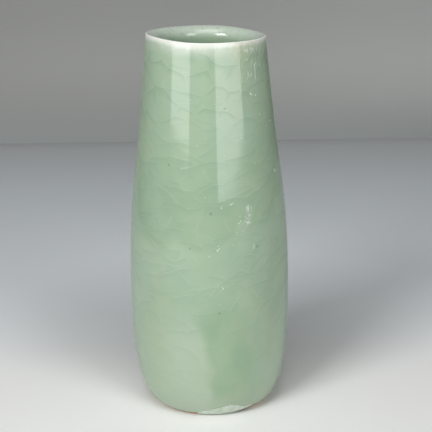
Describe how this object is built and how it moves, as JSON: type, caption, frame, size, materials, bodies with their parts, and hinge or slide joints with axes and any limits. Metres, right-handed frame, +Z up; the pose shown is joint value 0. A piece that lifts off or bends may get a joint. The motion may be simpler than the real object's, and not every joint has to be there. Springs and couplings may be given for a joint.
{
  "type": "sake bottle",
  "caption": "Thrown ceramic sake flask, straight-tapering with a rounded heel, wide mouth and crackled pale green celadon glaze.",
  "frame": {"origin": "centre of the foot ring, on the surface the bottle stands on", "axes": "+Z up along the bottle's axis towards the mouth, -Y the front, where the grit on the foot shows just right of the middle"},
  "size_m": [0.0708, 0.0708, 0.165],
  "materials": {
    "bare_clay": "unglazed stoneware, fired orange-brown where it is bare",
    "celadon_glaze": "glossy pale green celadon with fine crackle",
    "rim_glaze": "glossy, thin and white over the lip",
    "inner_glaze": "glossy pale green celadon",
    "base_glaze": "glossy pale green celadon",
    "kiln_grit": "rough, whitish green"
  },
  "bodies": {
    "root": {"clay_body": "bare_clay", "outer_glaze": "celadon_glaze", "rim_glaze": "rim_glaze", "inner_glaze": "inner_glaze", "base_glaze": "base_glaze", "kiln_grit": "kiln_grit"}
  },
  "joints": []
}
